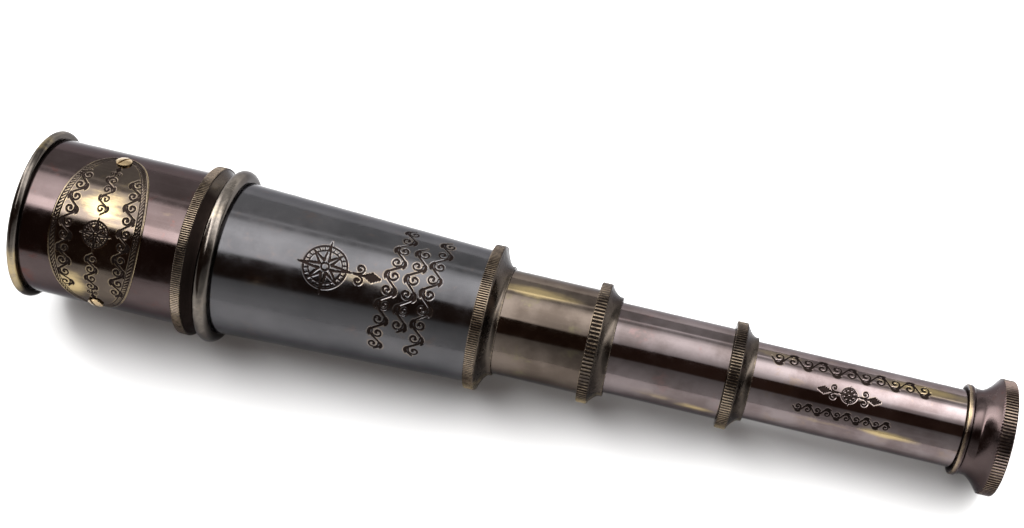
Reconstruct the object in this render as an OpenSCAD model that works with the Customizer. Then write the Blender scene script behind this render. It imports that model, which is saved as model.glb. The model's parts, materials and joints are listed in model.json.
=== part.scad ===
// Pull-out brass spyglass: a sliding sunshade, a tapered barrel and three draw tubes, part drawn.
// +X runs along the optical axis, from the front rim at x = 0 to the eye, and +Z is up.
// Every length is in millimetres. Screw threads are left plain, at the thread's own radius.

/* [Sunshade] */
// Outer radius of the sunshade tube
shade_r = 23; // [22.6:0.1:23.4]
// Wall of the sunshade tube
shade_wall = 0.75; // [0.6:0.05:0.9]
// Front face to the knurled band of the sunshade
shade_len = 49.7; // [48:0.1:56]
// Outer radius of the rolled front bead
shade_bead_r = 25.2; // [24.6:0.1:25.6]
// Width of the rolled front bead
shade_bead_w = 2.9; // [2.4:0.1:3.4]
// Outer radius of the sunshade's knurled band
shade_band_r = 25.3; // [24.8:0.1:25.8]
// Width of the sunshade's knurled band
shade_band_w = 3; // [2.6:0.1:3.4]
// How far the sunshade slides forward from its closed place
shade_travel = 25; // [20:0.5:25]

/* [Oval plate] */
// Length of the plate along the tube
plate_len = 27.2; // [20:0.1:32]
// Angle that the plate wraps round the tube
plate_wrap = 140; // [90:1:150]
// Thickness of the plate
plate_t = 0.5; // [0.4:0.05:0.7]
// Front face to the middle of the plate
plate_x = 25.2; // [22:0.1:28]
// Turn of the plate about the axis, from straight up
plate_turn = 28; // [-180:1:180]
// Angle from the middle of the plate to each screw
screw_turn = 62; // [40:1:64]
// Radius of a screw's head
screw_head_r = 2.3; // [1.8:0.1:2.5]
// Height of a screw's head at its middle
screw_head_h = 0.95; // [0.7:0.05:1.1]

/* [Barrel] */
// Outer radius of the barrel at the flange
barrel_front_r = 22.7; // [22.5:0.1:23]
// Outer radius of the barrel at its collar
barrel_rear_r = 19.5; // [19.2:0.1:20.5]
// Wall of the barrel tube
barrel_wall = 0.8; // [0.6:0.05:1]
// Flange to collar, along the bare barrel
barrel_shown = 74.4; // [70:0.1:90]
// Outer radius of the rounded flange
flange_r = 25.9; // [25.4:0.1:26.4]
// Width of the rounded flange
flange_w = 4.8; // [4.4:0.1:5.2]

/* [Draw tubes] */
// Wall of every draw tube
draw_wall = 0.6; // [0.5:0.05:0.7]
// Outer radius of the first draw tube, next to the barrel
draw_1_r = 15.4; // [15.2:0.05:15.6]
// Outer radius of the second draw tube
draw_2_r = 13.3; // [13.2:0.05:13.4]
// Outer radius of the third draw tube, at the eye
draw_3_r = 11.25; // [11.1:0.05:11.3]
// Whole length of the first draw tube
draw_1_len = 79.1; // [76:0.1:90]
// Whole length of the second draw tube
draw_2_len = 84.2; // [80:0.1:95]
// Whole length of the third draw tube
draw_3_len = 89.2; // [85:0.1:100]
// Bare length of the first draw tube as it stands
draw_1_shown = 25.4; // [1:0.1:50]
// Bare length of the second draw tube as it stands
draw_2_shown = 33; // [1:0.1:60]
// Bare length of the third draw tube as it stands
draw_3_shown = 59.4; // [1:0.1:66]

/* [Collars] */
// Width of a collar's knurled band
band_w = 3.35; // [3:0.05:3.6]
// Length of a collar behind its band, lip included
cone_w = 3.65; // [3.2:0.05:4]
// Outer radius of the barrel's collar
collar_1_r = 21.4; // [21:0.1:22]
// Outer radius of the first draw's collar
collar_2_r = 17.65; // [17.4:0.05:18]
// Outer radius of the second draw's collar
collar_3_r = 15.6; // [15.4:0.05:16]

/* [Eyepiece] */
// Length of the eyepiece cup behind the last draw tube
cup_len = 12.6; // [12:0.1:14]
// Outer radius of the cup's knurled rim
cup_rim_r = 16.6; // [16:0.1:17.2]
// Outer radius of the cup's small front ring
cup_ring_r = 13; // [12.8:0.1:13.2]
// Outer radius of the cup's waist
cup_waist_r = 12.3; // [12.2:0.05:12.5]
// Radius of the eye hole
eye_hole_r = 5; // [4:0.1:6]

/* [Optics] */
// Radius of the objective lenses
objective_r = 19.8; // [19:0.1:20]
// Radius of the erector lenses
erector_r = 9.4; // [9:0.1:9.6]
// Radius of the eyepiece's field lens
field_lens_r = 8.9; // [8.5:0.1:9]
// Radius of the eye lens
eye_lens_r = 6.5; // [6:0.1:7]

/* [Hidden] */

$fn = 144;
eps = 1;                       // overrun of a cutting shape past the face it cuts
slide_gap = 0.05;              // radial running clearance of every sliding fit
stop_gap = 0.05;               // air between two faces that meet at the end of a travel
stop_w = 3;                    // width of a draw tube's stop ring
spigot_len = 12;               // length of a draw collar's spigot inside its tube
lip_w = 0.7;                   // straight lip at the small end of a collar
lip_wall = 0.7;                // wall of that lip round the tube that slides in it
edge = 0.35;                   // chamfer of a knurled band
shoulder_drop = 0.45;          // from a band's radius down to the start of the cone behind it
cove_power = 1.7;              // how hollow that cone is; 1 would be straight
facets_fine = 720;             // facets of a large circle that only a short arc is kept from

// The sunshade runs on a pad at the front of the objective sleeve, and its collar on the sleeve.
shade_bore = shade_r - shade_wall;
pad_r = shade_bore - slide_gap;
sleeve_r = pad_r - 0.5;
sleeve_bore = sleeve_r - 0.7;
shade_collar_len = shade_band_w + 3.05;
shade_collar_in = 3.3;         // how far the shade collar's spigot reaches into the shade tube
shade_seat = 2;                // how far the shade tube reaches into the band
shade_inset = 1;               // front rim face to the front end of the shade tube
shade_lip_w = 0.4;             // straight lip at the rear of the shade collar
shade_lip_wall = 1.2;          // wall of that lip round the sleeve
shade_end = shade_len + shade_collar_len;
pad_end = shade_len - shade_collar_in - shade_travel - stop_gap;
pad_w = 3.9;
sleeve_x = pad_end - pad_w;

// The plate's screws
screw_shank_r = 0.9;
screw_seat = shade_r + plate_t;
screw_dome = 6;                // radius of the domed top of a screw's head
screw_slot_w = 0.7;
screw_slot_h = 1.1;            // twice the depth of the slot

// The barrel
flange_x = shade_end + stop_gap;
barrel_x = flange_x + 3.1;
barrel_end = flange_x + flange_w + barrel_shown;
guide_x = barrel_end - 17.6;
guide_flange_w = 2;
guide_wall = 1;
guide_in = 3;                  // how far the guide sleeve reaches into the barrel's collar
sleeve_in = 7;                 // front of the flange to the rear end of the objective sleeve
collar_1_spigot = 5;

// Each draw tube ends flush with the front of its own collar.
collar_len = band_w + cone_w;
draw_1_end = barrel_end + collar_len + draw_1_shown;
draw_2_end = draw_1_end + collar_len + draw_2_shown;
draw_3_end = draw_2_end + collar_len + draw_3_shown;
draw_1_x = draw_1_end - draw_1_len;
draw_2_x = draw_2_end - draw_2_len;
draw_3_x = draw_3_end - draw_3_len;
draw_1_bore = draw_1_r - draw_wall;
draw_2_bore = draw_2_r - draw_wall;
draw_3_bore = draw_3_r - draw_wall;

// The objective cell, from its front edge
cell_x = sleeve_x + 1;
cell_len = 12;
seat_r = objective_r - 1.2;    // clear aperture of the objective's seat and ring
ring_w = 2;                    // width of every lens retaining ring
crown_x = cell_x + 0.5 + ring_w;
crown_t = 5;
flint_t = 2.5;
flint_x = crown_x + crown_t;
objective_front_curve = 120;
objective_curve = 62;          // radius of the cemented face between the two lenses
cement_rise = 1.5;             // how far that face's middle reaches into the flint lens

// The erector cell, in the front of the third draw tube
erector_x = draw_3_x + 0.7;
erector_len = 34;
erector_seat_r = erector_r - 1;
erector_front_x = erector_x + 0.5 + ring_w;
erector_t = 3;
erector_rear_x = erector_x + erector_len - 0.5 - ring_w - erector_t;
erector_curve = 30;
stop_hole_r = 2.5;
stop_t = 0.8;
aperture_x = (erector_front_x + erector_rear_x + erector_t) / 2 - stop_t / 2;

// The eyepiece
cup_end = draw_3_end + cup_len;
cup_spigot = 10;
lens_tube_r = draw_3_bore - 0.75;
lens_tube_x = draw_3_end - 24;
web_x = draw_3_end + 5;        // front of the web that carries the eye hole
web_t = 1.2;
waist_x = draw_3_end + 3;      // from here to the flare the cup is straight
flare_x = draw_3_end + 4.3;
flare_power = 1.5;             // how hollow the flare is
field_x = lens_tube_x + 0.5 + ring_w;
field_seat_r = field_lens_r - 0.6;
field_t = 3.5;
field_curve = 16;
field_stop_x = lens_tube_x + 12;
field_stop_r = 4.2;
eye_t = 2.6;
eye_x = web_x - 0.2 - ring_w - eye_t;
eye_curve = 13;
rim_w = 3.9;
rim_edge = 0.5;                // chamfer at the rear of the rim
rim_face_w = 0.9;              // flat rear face of the cup's rim
dish_r = cup_rim_r - rim_edge - rim_face_w;
dish_floor_r = eye_hole_r + 3;

function barrel_r(x) =
    barrel_front_r + (barrel_rear_r - barrel_front_r) * (x - barrel_x) / (barrel_end - barrel_x);

// A hollow curve from [x0, r0] down or up to [x1, r1], steepest where it leaves r0
function cove(x0, r0, x1, r1, steps = 6) =
    [for (i = [0:steps]) let (t = i / steps) [x0 + (x1 - x0) * t, r1 + (r0 - r1) * pow(1 - t, cove_power)]];

// Turns an outline of [x, radius] points about the optical axis
module turned(outline) {
    rotate([0, 90, 0]) rotate_extrude() polygon([for (p = outline) [p[1], p[0]]]);
}

module tube(x0, x1, r_out, r_in) {
    turned([[x0, r_in], [x0, r_out], [x1, r_out], [x1, r_in]]);
}

// A plain collar with a rounded edge, a band for the knurling, a hollow cone and a lip, and a spigot in front
module collar(x, band_r, lip_r, bore, spigot_r, spigot) {
    shoulder = band_r - shoulder_drop;
    turned(concat(
        [[x - spigot, bore], [x - spigot, spigot_r], [x, spigot_r], [x, band_r - edge]],
        [[x + edge, band_r], [x + band_w - edge, band_r], [x + band_w, shoulder]],
        cove(x + band_w, shoulder, x + collar_len - lip_w, lip_r),
        [[x + collar_len, lip_r], [x + collar_len, bore]]));
}

// A lens of radius r from x0 to x1; a face with a curve bulges outward on that radius, and 0 leaves it flat
module lens(x0, x1, r, front_curve, back_curve) {
    rotate([0, 90, 0]) rotate_extrude() intersection() {
        translate([0, x0]) square([r, x1 - x0]);
        translate([0, x0 + front_curve]) lens_face(front_curve, r);
        translate([0, x1 - back_curve]) lens_face(back_curve, r);
    }
}

module lens_face(curve, r) {
    if (curve > 0)
        circle(r = curve, $fn = facets_fine);
    else
        square(6 * r, center = true);
}

// Retaining ring with two notches for a pin spanner in the face at x_face
module lens_ring(x, r_out, r_in, x_face) {
    difference() {
        tube(x, x + ring_w, r_out, r_in);
        for (side = [-1, 1])
            translate([x_face, side * (r_out + r_in) / 2, 0]) cube([1.4, r_out - r_in + 0.6, 1.2], center = true);
    }
}

// Stands its children on the plate's radius, turned from the plate's middle by an angle
module on_plate(turn) {
    translate([plate_x, 0, 0]) rotate([plate_turn + turn, 0, 0]) children();
}

module screw_hole(turn) {
    on_plate(turn) translate([0, 0, shade_bore - eps]) cylinder(r = screw_shank_r, h = plate_t + 3 * eps);
}

module shade_tube() {
    color([0.36, 0.28, 0.26]) difference() {
        tube(shade_inset, shade_len + shade_seat, shade_r, shade_bore);
        for (side = [-1, 1]) screw_hole(side * screw_turn);
    }
}

// Half-section of a rolled bead: flat sides from r_in, and a half-round top at r_out
module bead_section(x, w, r_in, r_out) {
    half = w / 2;
    translate([r_in, x]) square([r_out - half - r_in, w]);
    intersection() {
        translate([r_out - half, x + half]) circle(r = half);
        translate([r_out - half, x]) square([w, w]);
    }
}

module shade_front_bead() {
    mouth_r = shade_bore - 0.3;
    color([0.42, 0.34, 0.24]) rotate([0, 90, 0]) rotate_extrude() difference() {
        bead_section(0, shade_bead_w, mouth_r, shade_bead_r);
        translate([mouth_r - eps, shade_inset]) square([shade_r - mouth_r + eps, shade_bead_w]);
    }
}

module shade_collar() {
    back = shade_len + shade_band_w;
    bore = sleeve_r + slide_gap;
    color([0.40, 0.34, 0.27]) turned(concat(
        [[shade_len - shade_collar_in, bore], [shade_len - shade_collar_in, shade_bore]],
        [[shade_len + shade_seat, shade_bore], [shade_len + shade_seat, shade_r]],
        [[shade_len, shade_r], [shade_len, shade_band_r - edge], [shade_len + edge, shade_band_r]],
        [[back - edge, shade_band_r], [back, shade_band_r - shoulder_drop]],
        cove(back, shade_band_r - shoulder_drop, shade_end - shade_lip_w, sleeve_r + shade_lip_wall),
        [[shade_end, sleeve_r + shade_lip_wall], [shade_end, bore]]));
}

// The oval is an ellipse on the unrolled tube, seen here along the plate's own radius.
module oval_plate() {
    outline = [for (i = [0:71]) let (t = i * 5)
        [plate_len / 2 * cos(t), (shade_r + plate_t) * sin(plate_wrap / 2 * sin(t))]];
    color([0.50, 0.42, 0.29]) difference() {
        intersection() {
            tube(plate_x - plate_len, plate_x + plate_len, shade_r + plate_t, shade_r);
            on_plate(0) linear_extrude(height = shade_r + 2) polygon(outline);
        }
        for (side = [-1, 1]) screw_hole(side * screw_turn);
    }
}

module plate_screw(turn, slot_turn) {
    color([0.74, 0.60, 0.36]) on_plate(turn) difference() {
        union() {
            translate([0, 0, shade_bore + 0.05]) cylinder(r = screw_shank_r, h = shade_wall + plate_t);
            translate([0, 0, screw_seat]) intersection() {
                cylinder(r = screw_head_r, h = screw_head_h);
                translate([0, 0, screw_head_h - screw_dome]) sphere(r = screw_dome);
            }
        }
        translate([0, 0, screw_seat + screw_head_h]) rotate([0, 0, slot_turn])
            cube([2 * screw_head_r + eps, screw_slot_w, screw_slot_h], center = true);
    }
}

module plate_screw_1() {
    plate_screw(-screw_turn, 62);
}

module plate_screw_2() {
    plate_screw(screw_turn, -65);
}

module objective_sleeve() {
    back = flange_x + sleeve_in;
    color([0.20, 0.18, 0.17]) turned([[sleeve_x, sleeve_bore], [sleeve_x, pad_r], [pad_end, pad_r],
        [pad_end, sleeve_r], [back, sleeve_r], [back, sleeve_bore]]);
}

module objective_cell() {
    seat_x = flint_x + flint_t;
    color([0.12, 0.11, 0.11]) turned([[cell_x, objective_r], [cell_x, sleeve_bore],
        [cell_x + cell_len, sleeve_bore], [cell_x + cell_len, seat_r], [seat_x, seat_r], [seat_x, objective_r]]);
}

module crown_lens() {
    color([0.75, 0.85, 0.88, 0.5]) lens(crown_x, flint_x + cement_rise, objective_r,
        objective_front_curve, objective_curve);
}

module flint_lens() {
    color([0.70, 0.80, 0.83, 0.5]) rotate([0, 90, 0]) rotate_extrude() difference() {
        translate([0, flint_x - 2]) square([objective_r, flint_t + 2]);
        translate([0, flint_x + cement_rise - objective_curve]) circle(r = objective_curve, $fn = facets_fine);
    }
}

module objective_retaining_ring() {
    color([0.13, 0.12, 0.12]) lens_ring(crown_x - ring_w, objective_r, seat_r, crown_x - ring_w);
}

module barrel_flange() {
    color([0.45, 0.42, 0.38]) rotate([0, 90, 0]) rotate_extrude() difference() {
        bead_section(flange_x, flange_w, sleeve_r, flange_r);
        translate([sleeve_r - eps, barrel_x]) square([barrel_front_r - sleeve_r + eps, flange_w]);
    }
}

module barrel_tube() {
    color([0.34, 0.33, 0.34]) turned([[barrel_x, barrel_front_r - barrel_wall], [barrel_x, barrel_front_r],
        [barrel_end, barrel_rear_r], [barrel_end, barrel_rear_r - barrel_wall]]);
}

module barrel_guide_sleeve() {
    bore = draw_1_r + slide_gap;
    outer = bore + guide_wall;
    rim = barrel_r(guide_x + guide_flange_w) - barrel_wall - 0.05;
    color([0.42, 0.34, 0.20]) turned([[guide_x, bore], [guide_x, rim], [guide_x + guide_flange_w, rim],
        [guide_x + guide_flange_w, outer], [barrel_end + guide_in, outer], [barrel_end + guide_in, bore]]);
}

module barrel_collar() {
    bore = draw_1_r + slide_gap;
    outer = bore + guide_wall;
    rim = barrel_rear_r - barrel_wall;
    color([0.38, 0.33, 0.27]) difference() {
        collar(barrel_end, collar_1_r, bore + lip_wall, bore, rim, collar_1_spigot);
        tube(barrel_end - collar_1_spigot - eps, barrel_end + guide_in, outer, bore - eps);
    }
}

module draw_1_tube() {
    color([0.44, 0.38, 0.30]) tube(draw_1_x, draw_1_end, draw_1_r, draw_1_bore);
}

module draw_1_stop_ring() {
    color([0.42, 0.34, 0.20]) tube(draw_1_x, draw_1_x + stop_w, draw_1_r + 1.5, draw_1_r);
}

module draw_1_collar() {
    bore = draw_2_r + slide_gap;
    color([0.38, 0.33, 0.27]) collar(draw_1_end, collar_2_r, bore + 1.3, bore, draw_1_bore, spigot_len);
}

module draw_2_tube() {
    color([0.46, 0.37, 0.34]) tube(draw_2_x, draw_2_end, draw_2_r, draw_2_bore);
}

module draw_2_stop_ring() {
    color([0.42, 0.34, 0.20]) tube(draw_2_x, draw_2_x + stop_w, draw_1_bore - slide_gap, draw_2_r);
}

module draw_2_collar() {
    bore = draw_3_r + slide_gap;
    color([0.38, 0.33, 0.27]) collar(draw_2_end, collar_3_r, bore + 0.9, bore, draw_2_bore, spigot_len);
}

module draw_3_tube() {
    color([0.56, 0.48, 0.36]) tube(draw_3_x, draw_3_end, draw_3_r, draw_3_bore);
}

module draw_3_stop_ring() {
    color([0.42, 0.34, 0.20]) tube(draw_3_x, draw_3_x + stop_w, draw_2_bore - slide_gap, draw_3_r);
}

// The cell has an inner shoulder behind the front lens and one in front of the rear lens.
module erector_tube() {
    front_seat = erector_front_x + erector_t;
    color([0.12, 0.11, 0.11]) difference() {
        tube(erector_x, erector_x + erector_len, draw_3_bore, erector_seat_r);
        tube(erector_x - eps, front_seat, erector_r, erector_seat_r - eps);
        tube(front_seat + 1, aperture_x + stop_t, erector_r, erector_seat_r - eps);
        tube(erector_rear_x, erector_x + erector_len + eps, erector_r, erector_seat_r - eps);
    }
}

module erector_front_ring() {
    color([0.13, 0.12, 0.12])
        lens_ring(erector_front_x - ring_w, erector_r, erector_seat_r, erector_front_x - ring_w);
}

module erector_front_lens() {
    color([0.75, 0.85, 0.88, 0.5])
        lens(erector_front_x, erector_front_x + erector_t, erector_r, erector_curve, 0);
}

module aperture_stop() {
    color([0.12, 0.11, 0.11]) tube(aperture_x, aperture_x + stop_t, erector_r, stop_hole_r);
}

module erector_rear_lens() {
    color([0.75, 0.85, 0.88, 0.5])
        lens(erector_rear_x, erector_rear_x + erector_t, erector_r, 0, erector_curve);
}

module erector_rear_ring() {
    back = erector_rear_x + erector_t;
    color([0.13, 0.12, 0.12]) lens_ring(back, erector_r, erector_seat_r, back + ring_w);
}

module eyepiece_cup() {
    x = draw_3_end;
    rim_x = cup_end - rim_w;
    spigot = [[x - cup_spigot, lens_tube_r], [x - cup_spigot, draw_3_bore], [x, draw_3_bore]];
    small_ring = [[x, cup_ring_r - 0.5], [x + 0.4, cup_ring_r], [x + 1.5, cup_ring_r], [x + 2, cup_waist_r + 0.25]];
    flare = [for (i = [0:6]) let (t = i / 6)
        [flare_x + (rim_x - flare_x) * t, cup_waist_r + (cup_rim_r - edge - cup_waist_r) * pow(t, flare_power)]];
    rim = [[rim_x + 0.3, cup_rim_r], [cup_end - rim_edge, cup_rim_r], [cup_end, cup_rim_r - rim_edge]];
    dish_depth = cup_end - web_x - web_t;
    dish = [for (i = [0:6]) let (t = i / 6)
        [cup_end - dish_depth * sin(90 * t), dish_floor_r + (dish_r - dish_floor_r) * cos(90 * t)]];
    web = [[web_x + web_t, eye_hole_r], [web_x, eye_hole_r], [web_x, lens_tube_r]];
    color([0.36, 0.27, 0.24]) turned(concat(spigot, small_ring, [[waist_x, cup_waist_r]], flare, rim, dish, web));
}

module eyepiece_lens_tube() {
    bore = field_lens_r;
    eye_seat = eye_lens_r - 0.8;
    color([0.12, 0.11, 0.11]) turned([
        [lens_tube_x, bore], [lens_tube_x, lens_tube_r], [web_x, lens_tube_r], [web_x, eye_lens_r],
        [eye_x, eye_lens_r], [eye_x, eye_seat], [eye_x - 1, eye_seat], [eye_x - 1, bore],
        [field_x + field_t + 1, bore], [field_x + field_t + 1, field_seat_r],
        [field_x + field_t, field_seat_r], [field_x + field_t, bore]]);
}

module field_lens_ring() {
    color([0.13, 0.12, 0.12]) lens_ring(field_x - ring_w, field_lens_r, field_seat_r, field_x - ring_w);
}

module field_lens() {
    color([0.75, 0.85, 0.88, 0.5]) lens(field_x, field_x + field_t, field_lens_r, field_curve, 0);
}

module field_stop() {
    color([0.12, 0.11, 0.11]) tube(field_stop_x, field_stop_x + stop_t, field_lens_r, field_stop_r);
}

module eye_lens() {
    color([0.75, 0.85, 0.88, 0.5]) lens(eye_x, eye_x + eye_t, eye_lens_r, eye_curve, 0);
}

module eye_lens_ring() {
    color([0.13, 0.12, 0.12]) lens_ring(eye_x + eye_t, eye_lens_r, eye_hole_r, eye_x + eye_t);
}

shade_tube();
shade_front_bead();
shade_collar();
oval_plate();
plate_screw_1();
plate_screw_2();
objective_sleeve();
objective_cell();
crown_lens();
flint_lens();
objective_retaining_ring();
barrel_flange();
barrel_tube();
barrel_guide_sleeve();
barrel_collar();
draw_1_tube();
draw_1_stop_ring();
draw_1_collar();
draw_2_tube();
draw_2_stop_ring();
draw_2_collar();
draw_3_tube();
draw_3_stop_ring();
erector_tube();
erector_front_ring();
erector_front_lens();
aperture_stop();
erector_rear_lens();
erector_rear_ring();
eyepiece_cup();
eyepiece_lens_tube();
field_lens_ring();
field_lens();
field_stop();
eye_lens();
eye_lens_ring();
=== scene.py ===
"""Looks for the pull-out brass spyglass: knurled collars, engraved ornament and aged brass over the CAD.

Lengths in this file are millimetres unless it says otherwise; MM turns them into Blender's metres.
An angle round the tube is measured from straight up (+Z) towards -Y, in degrees.
"""
import json
import math

import bpy
import numpy as np
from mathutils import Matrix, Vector, kdtree


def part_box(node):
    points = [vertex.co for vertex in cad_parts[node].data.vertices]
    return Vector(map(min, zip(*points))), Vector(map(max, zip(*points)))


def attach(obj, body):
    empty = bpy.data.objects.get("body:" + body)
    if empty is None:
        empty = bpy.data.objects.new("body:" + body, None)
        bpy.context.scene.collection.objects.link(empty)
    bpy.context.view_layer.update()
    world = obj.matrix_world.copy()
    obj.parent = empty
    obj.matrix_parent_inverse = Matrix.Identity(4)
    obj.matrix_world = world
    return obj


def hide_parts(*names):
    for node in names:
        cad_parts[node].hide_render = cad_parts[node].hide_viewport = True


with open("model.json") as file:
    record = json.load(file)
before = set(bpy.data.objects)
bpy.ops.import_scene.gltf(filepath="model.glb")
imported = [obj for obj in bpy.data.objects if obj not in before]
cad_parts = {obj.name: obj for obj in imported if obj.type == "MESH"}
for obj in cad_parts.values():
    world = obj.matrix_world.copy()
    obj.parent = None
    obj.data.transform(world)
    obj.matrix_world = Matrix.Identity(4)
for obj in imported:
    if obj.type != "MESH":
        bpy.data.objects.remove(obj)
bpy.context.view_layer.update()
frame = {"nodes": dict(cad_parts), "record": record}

MM = 0.001

# ---------------------------------------------------------------- camera

CAMERA_AZIMUTH = 14.29          # degrees round the vertical, from -Y towards +X
CAMERA_ELEVATION = 65.92        # degrees above the horizontal
CAMERA_DISTANCE = 481.0
CAMERA_AIM = (139.7, 18.3, -0.2)
CAMERA_LENS = 57.4
CAMERA_SENSOR = 36.0
CAMERA_CLIP = 10.0


def make_camera():
    azimuth = math.radians(CAMERA_AZIMUTH)
    elevation = math.radians(CAMERA_ELEVATION)
    back = Vector((math.sin(azimuth) * math.cos(elevation),
                   -math.cos(azimuth) * math.cos(elevation),
                   math.sin(elevation)))
    data = bpy.data.cameras.new("camera")
    data.lens = CAMERA_LENS
    data.sensor_width = CAMERA_SENSOR
    data.clip_start = CAMERA_CLIP * MM
    camera = bpy.data.objects.new("camera", data)
    camera.location = (Vector(CAMERA_AIM) + back * CAMERA_DISTANCE) * MM
    camera.rotation_mode = "QUATERNION"
    camera.rotation_quaternion = back.to_track_quat("Z", "Y")
    bpy.context.scene.collection.objects.link(camera)
    bpy.context.scene.camera = camera


# ---------------------------------------------------------------- node graphs


class Graph:
    """Short calls for building a node tree. A value may be a number, a colour or a socket."""

    def __init__(self, holder, output="ShaderNodeOutputMaterial"):
        holder.use_nodes = True
        self.material = holder
        self.tree = holder.node_tree
        self.tree.nodes.clear()
        self.output = self.tree.nodes.new(output)

    def put(self, socket, value):
        if isinstance(value, bpy.types.NodeSocket):
            self.tree.links.new(value, socket)
        elif hasattr(value, "__len__") and len(value) == 3 and socket.type == "RGBA":
            socket.default_value = (*value, 1.0)
        else:
            socket.default_value = value

    def node(self, kind, settings=None, **inputs):
        made = self.tree.nodes.new(kind)
        for key, value in (settings or {}).items():
            setattr(made, key, value)
        for key, value in inputs.items():
            self.put(made.inputs[key.replace("_", " ")], value)
        return made

    def math(self, operation, a, b=0.0, c=0.0):
        made = self.tree.nodes.new("ShaderNodeMath")
        made.operation = operation
        for socket, value in zip(made.inputs, (a, b, c)):
            self.put(socket, value)
        return made.outputs[0]

    def mix(self, share, a, b):
        """Colour a where share is 0 and b where it is 1. The node's colour sockets are 6, 7 and 2."""
        made = self.tree.nodes.new("ShaderNodeMix")
        made.data_type = "RGBA"
        for index, value in ((0, share), (6, a), (7, b)):
            self.put(made.inputs[index], value)
        return made.outputs[2]

    def step(self, value, low, high, to_low=0.0, to_high=1.0):
        """Smooth step of value from low to high, given back between to_low and to_high."""
        made = self.node("ShaderNodeMapRange", {"interpolation_type": "SMOOTHSTEP"}, Value=value,
                         From_Min=low, From_Max=high, To_Min=to_low, To_Max=to_high)
        return made.outputs["Result"]

    def window(self, value, rise, fall):
        """1 between two smooth edges, each of them (start, end), and 0 outside."""
        return self.math("MULTIPLY", self.step(value, *rise), self.step(value, *fall, 1.0, 0.0))

    def noise(self, place, scale, detail=3.0, roughness=0.55, stretch=None):
        """Fractal noise, scale in features a metre. A stretch below 1 draws it out along that axis."""
        if stretch:
            place = self.node("ShaderNodeMapping", Vector=place, Scale=stretch).outputs["Vector"]
        made = self.node("ShaderNodeTexNoise", Vector=place, Scale=scale, Detail=detail,
                         Roughness=roughness)
        return made.outputs["Fac"]

    def attribute(self, name):
        return self.node("ShaderNodeAttribute", {"attribute_name": name}).outputs["Fac"]

    def place(self, kind="Object"):
        return self.node("ShaderNodeTexCoord").outputs[kind]

    def ramp(self, degrees, stops):
        """Straight lines through stops of (degrees from -180 to 180, value)."""
        made = self.node("ShaderNodeValToRGB", Fac=self.math("MULTIPLY_ADD", degrees, 1 / 360, 0.5))
        elements = made.color_ramp.elements
        while len(elements) < len(stops):
            elements.new(0.5)
        for element, (angle, value) in zip(elements, stops):
            element.position = (angle + 180) / 360
            element.color = (value, value, value, 1.0)
        return made.outputs["Color"]

    def bump(self, height, strength, distance):
        """A normal for bumps of this height, where 1 stands for distance in millimetres."""
        made = self.node("ShaderNodeBump", Strength=strength, Distance=distance * MM, Height=height)
        return made.outputs[0]

    def shader(self, kind="ShaderNodeBsdfPrincipled", **inputs):
        made = self.node(kind, **inputs)
        self.tree.links.new(made.outputs[0], self.output.inputs["Surface"])


BRASS = (0.52, 0.40, 0.21)
WORN = (0.34, 0.26, 0.18)
# Grime in hollows and grooves, and painted shade in creases and in the sunshade collar's cone
GRIME_AND_SHADE = (0.010, 0.007, 0.006)
TARNISH = (0.20, 0.13, 0.06)
EDGE_TINT = (0.50, 0.50, 0.51)  # of what the metal mirrors at a grazing angle
RETURNED = 0.56                 # share of the light that metal under its patina gives back

# Noise scales, in features a metre
CLOUDS, BLUSHES, SHEEN, RUBBING = 60.0, 130.0, 240.0, 330.0
GRAIN, STREAKS, FINE_GRAIN = 1100.0, 1300.0, 2400.0
BLOOM, TURNING, DUST = 180.0, 1500.0, 500.0


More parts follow.
